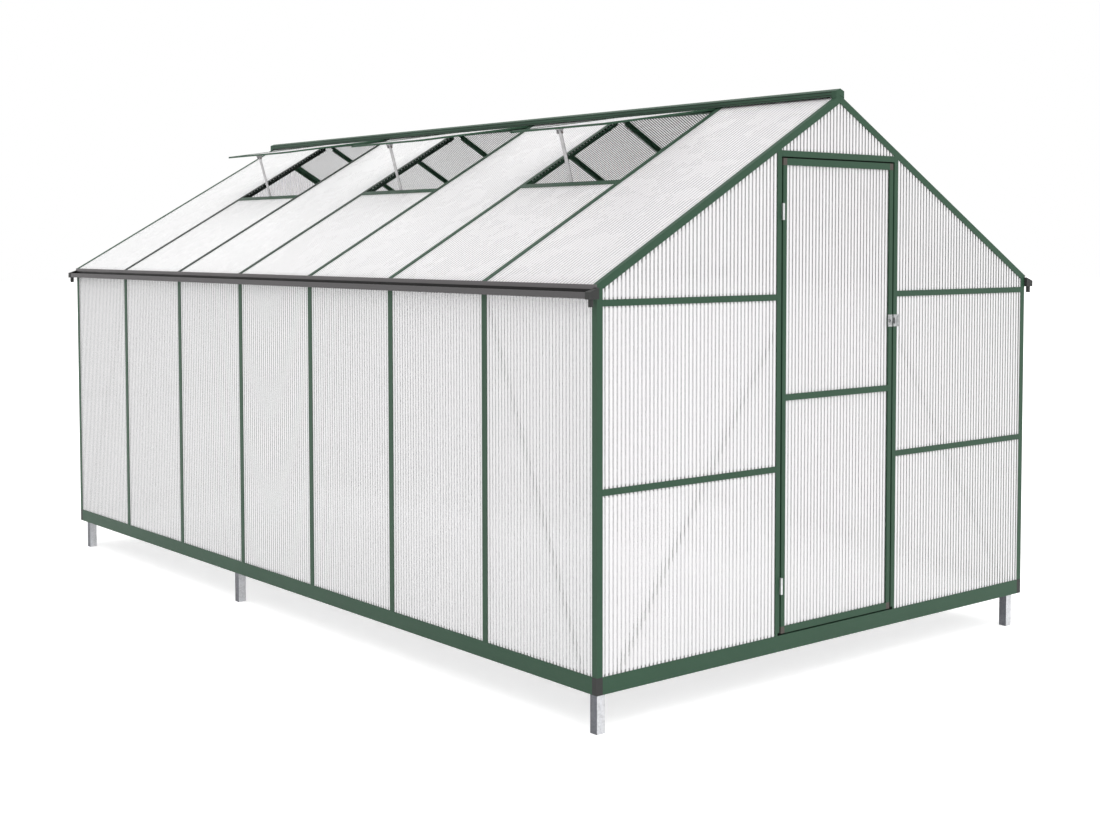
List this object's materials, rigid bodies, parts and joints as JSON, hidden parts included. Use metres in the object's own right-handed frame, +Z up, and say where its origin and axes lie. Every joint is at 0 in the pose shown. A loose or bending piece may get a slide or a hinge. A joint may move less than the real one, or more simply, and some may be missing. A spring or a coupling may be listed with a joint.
{
  "type": "greenhouse",
  "caption": "Walk-in greenhouse: metal glazing-bar frame, ribbed translucent sheets, pitched roof with propped vents, gutters and a hinged end door.",
  "frame": {"origin": "centre of the plan, on the ground under the stakes", "axes": "+Z up, -Y out of the end wall with the door, +X to the right of someone facing that wall from outside"},
  "size_m": [2.442, 4.312, 2.1849],
  "materials": {
    "green_frame": "satin powder coat, dark green",
    "clear_sheet": "twin-wall polycarbonate, clear, ribbed",
    "dark_plastic": "moulded charcoal plastic",
    "gutter_grey": "satin grey",
    "galvanised_steel": "galvanised, matte",
    "zinc_fittings": "zinc plated",
    "plain_aluminium": "pale, satin"
  },
  "bodies": {
    "root": {"base_front": "green_frame", "base_back": "green_frame", "base_sides": "green_frame", "base_corners": "dark_plastic", "ground_stakes": "galvanised_steel", "corner_posts": "green_frame", "side_posts": "green_frame", "door_jambs": "green_frame", "door_header": "green_frame", "front_rails": "green_frame", "back_studs": "green_frame", "back_rails": "green_frame", "gable_bars": "green_frame", "roof_bars_left": "green_frame", "roof_bars_right": "green_frame", "ridge_beam": "green_frame", "ridge_end_caps": "green_frame", "eave_bars": "gutter_grey", "gutter_floors": "gutter_grey", "gutter_lips": "gutter_grey", "gutter_end_caps": "dark_plastic", "left_wall_sheets": "clear_sheet", "right_wall_sheets": "clear_sheet", "front_wall_sheets": "clear_sheet", "back_wall_sheets": "clear_sheet", "roof_sheets_left": "clear_sheet", "roof_sheets_right": "clear_sheet", "vent_sills": "green_frame", "vent_side_bars": "green_frame", "vent_cross_bars": "green_frame", "vent_sheets": "clear_sheet", "vent_stays": "galvanised_steel", "front_braces": "green_frame", "back_braces": "green_frame", "side_braces": "green_frame", "hinge_leaves": "plain_aluminium", "latch_keeper": "zinc_fittings"},
    "door": {"door_stiles": "green_frame", "door_rails": "green_frame", "door_corners": "dark_plastic", "door_sheets": "clear_sheet", "door_hinges": "plain_aluminium", "door_latch": "zinc_fittings"}
  },
  "joints": [
    {"name": "door_hinge", "type": "hinge", "parent": "root", "child": "door", "pos_m": [-0.30725, -2.15, 1.04849], "axis": [0, 0, -1], "range_deg": [0, 110]}
  ]
}
